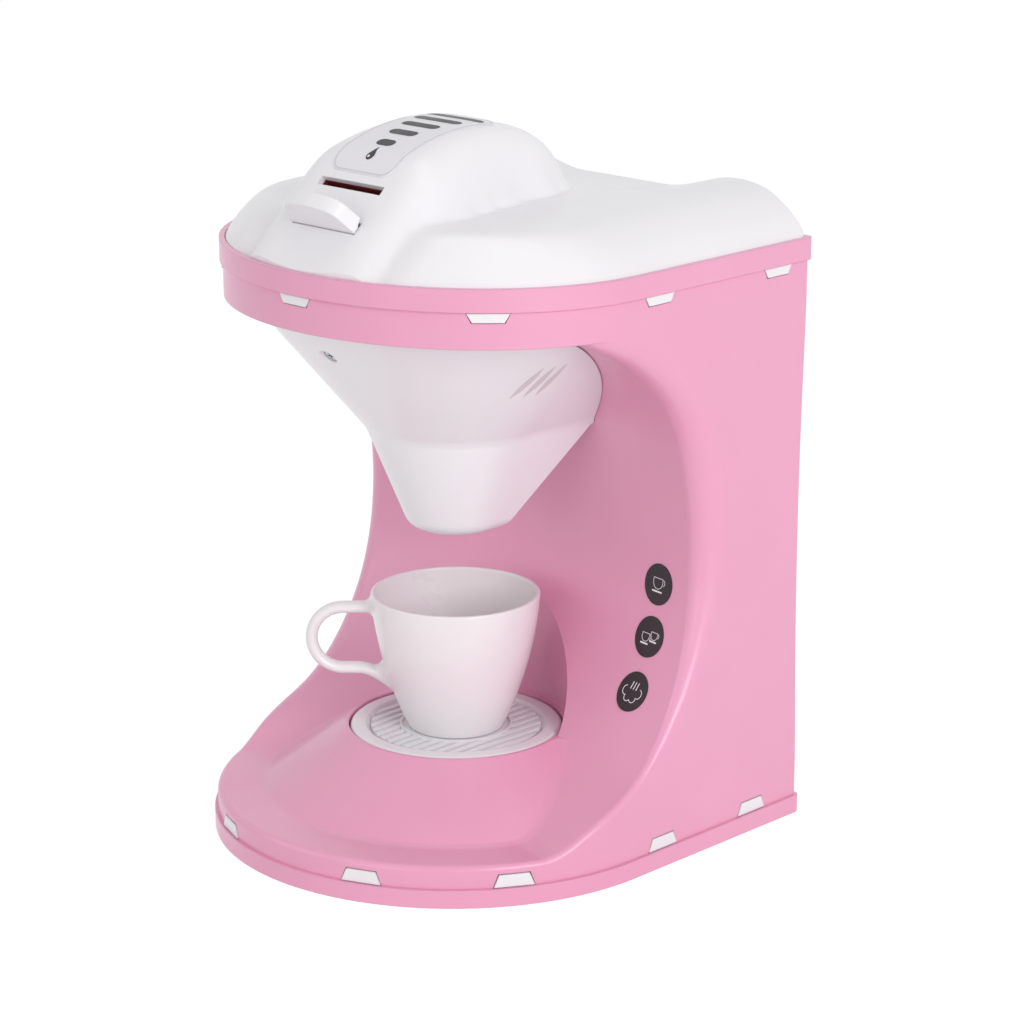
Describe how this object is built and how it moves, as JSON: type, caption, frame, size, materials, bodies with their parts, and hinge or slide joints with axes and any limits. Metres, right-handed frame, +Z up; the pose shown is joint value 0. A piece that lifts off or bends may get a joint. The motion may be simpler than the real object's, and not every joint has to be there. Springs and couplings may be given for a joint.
{
  "type": "toy coffee maker",
  "caption": "Pink and white plastic toy coffee maker with a press lever in the lid, a white hopper, a lift-out drip tray and a cup.",
  "frame": {"origin": "on the table, under the middle of the outer box of the body", "axes": "+X to the right of somebody facing the front, +Y to the back, +Z up"},
  "size_m": [0.1886, 0.1914, 0.2757],
  "materials": {
    "pink_plastic": "semi-gloss moulded plastic",
    "white_plastic": "semi-gloss moulded plastic",
    "dark_red_plastic": "matt",
    "steel": "satin",
    "seal_rubber": "matt",
    "label_film": "printed film",
    "black_label": "printed film"
  },
  "bodies": {
    "body": {"main_housing": "pink_plastic", "top_collar": "pink_plastic", "base_rim": "pink_plastic", "bottom_plate": "white_plastic", "top_lid": "white_plastic", "feed_chute": "dark_red_plastic", "lever_pin": "steel", "hopper": "white_plastic", "hopper_screw": "steel", "tank_funnel": "white_plastic", "outlet_nozzle": "white_plastic", "return_spring": "steel", "level_label": "label_film", "label_one_cup": "black_label", "label_two_cups": "black_label", "label_steam": "black_label", "foot_pads": "seal_rubber"},
    "lever": {"lever": "white_plastic"},
    "valve": {"valve_rod": "white_plastic", "valve_seal": "seal_rubber"},
    "tray": {"drip_tray": "white_plastic"},
    "cup": {"cup": "white_plastic"}
  },
  "joints": [
    {"name": "lever_press", "type": "hinge", "parent": "body", "child": "lever", "pos_m": [0, -0.06198, 0.2404], "axis": [-1, 0, 0], "range_deg": [0, 10], "stiffness_Nm_per_rad": 0.02, "springref_deg": -11.46},
    {"name": "valve_slide", "type": "slide", "parent": "body", "child": "valve", "axis": [0, 0, -1], "range_m": [0, 0.011], "stiffness_N_per_m": 2, "springref_m": -0.012, "deforming": ["return_spring"]},
    {"name": "tray_lift", "type": "slide", "parent": "body", "child": "tray", "axis": [0, 0, 1], "range_m": [0, 0.02]},
    {"name": "cup_take", "type": "slide", "parent": "tray", "child": "cup", "axis": [0, -0.9063, 0.4226], "range_m": [0, 0.15]}
  ],
  "couplings": [
    {"joint": "valve_slide", "follows": "lever_press", "m_per_rad": 0.0623}
  ]
}
